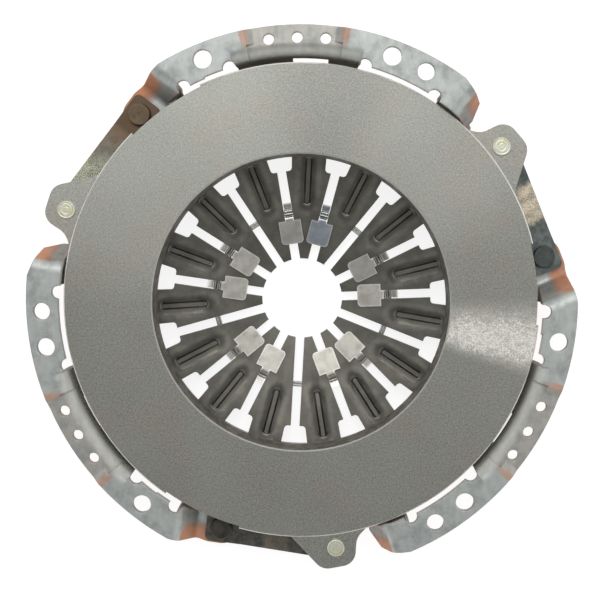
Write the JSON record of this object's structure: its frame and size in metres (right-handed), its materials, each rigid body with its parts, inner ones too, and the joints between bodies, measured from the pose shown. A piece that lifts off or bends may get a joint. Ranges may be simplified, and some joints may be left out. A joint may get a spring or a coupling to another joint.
{
  "type": "clutch pressure plate",
  "caption": "Clutch cover assembly: pressed steel cover, cast pressure plate on strap leaves, and a slotted diaphragm spring with clips on its fingers",
  "frame": {"origin": "on the clutch axis, in the plane where the cover flanges meet the flywheel", "axes": "+Z along the axis towards the flywheel, +Y through the middle of one cover flange, +X to the right seen from the flywheel"},
  "size_m": [0.269, 0.2677, 0.04],
  "materials": {
    "cover_steel": "pressed steel, lightly oiled, with orange paint haze at the bends",
    "cast_iron": "cast iron with a ground friction face",
    "spring_steel": "dark tempered spring steel",
    "bright_wire": "bright drawn wire",
    "clip_steel": "bright strip steel",
    "strap_steel": "dull spring strip with heat colour",
    "rivet_steel": "dark rivet steel",
    "zinc_rivet": "yellowish zinc plate"
  },
  "bodies": {
    "cover": {"cover": "cover_steel", "diaphragm_spring": "spring_steel", "front_fulcrum_ring": "bright_wire", "rear_fulcrum_ring": "bright_wire", "spacer_rivets": "rivet_steel", "strap_rivet_1": "rivet_steel", "strap_rivet_2": "rivet_steel", "strap_rivet_3": "rivet_steel", "strap_1_leaf_1": "strap_steel", "strap_1_leaf_2": "strap_steel", "strap_1_leaf_3": "strap_steel", "strap_2_leaf_1": "strap_steel", "strap_2_leaf_2": "strap_steel", "strap_2_leaf_3": "strap_steel", "strap_3_leaf_1": "strap_steel", "strap_3_leaf_2": "strap_steel", "strap_3_leaf_3": "strap_steel"},
    "plate": {"pressure_plate": "cast_iron", "lug_rivet_1": "zinc_rivet", "lug_rivet_2": "zinc_rivet", "lug_rivet_3": "zinc_rivet"},
    "finger_ties": {"inner_tie_ring": "bright_wire", "outer_tie_ring": "bright_wire", "finger_clip_01": "clip_steel", "finger_clip_02": "clip_steel", "finger_clip_03": "clip_steel", "finger_clip_04": "clip_steel", "finger_clip_05": "clip_steel", "finger_clip_06": "clip_steel", "finger_clip_07": "clip_steel", "finger_clip_08": "clip_steel", "finger_clip_09": "clip_steel", "finger_clip_10": "clip_steel"}
  },
  "joints": [
    {"name": "plate_lift", "type": "slide", "parent": "cover", "child": "plate", "axis": [0, 0, 1], "range_m": [-0.003, 0], "stiffness_N_per_m": 60000, "deforming": ["diaphragm_spring", "strap_1_leaf_1", "strap_1_leaf_2", "strap_1_leaf_3", "strap_2_leaf_1", "strap_2_leaf_2", "strap_2_leaf_3", "strap_3_leaf_1", "strap_3_leaf_2", "strap_3_leaf_3"]},
    {"name": "finger_lift", "type": "slide", "parent": "cover", "child": "finger_ties", "axis": [0, 0, 1], "range_m": [0, 0.0062]}
  ],
  "couplings": [
    {"joint": "finger_lift", "follows": "plate_lift", "ratio": -2.0327}
  ]
}
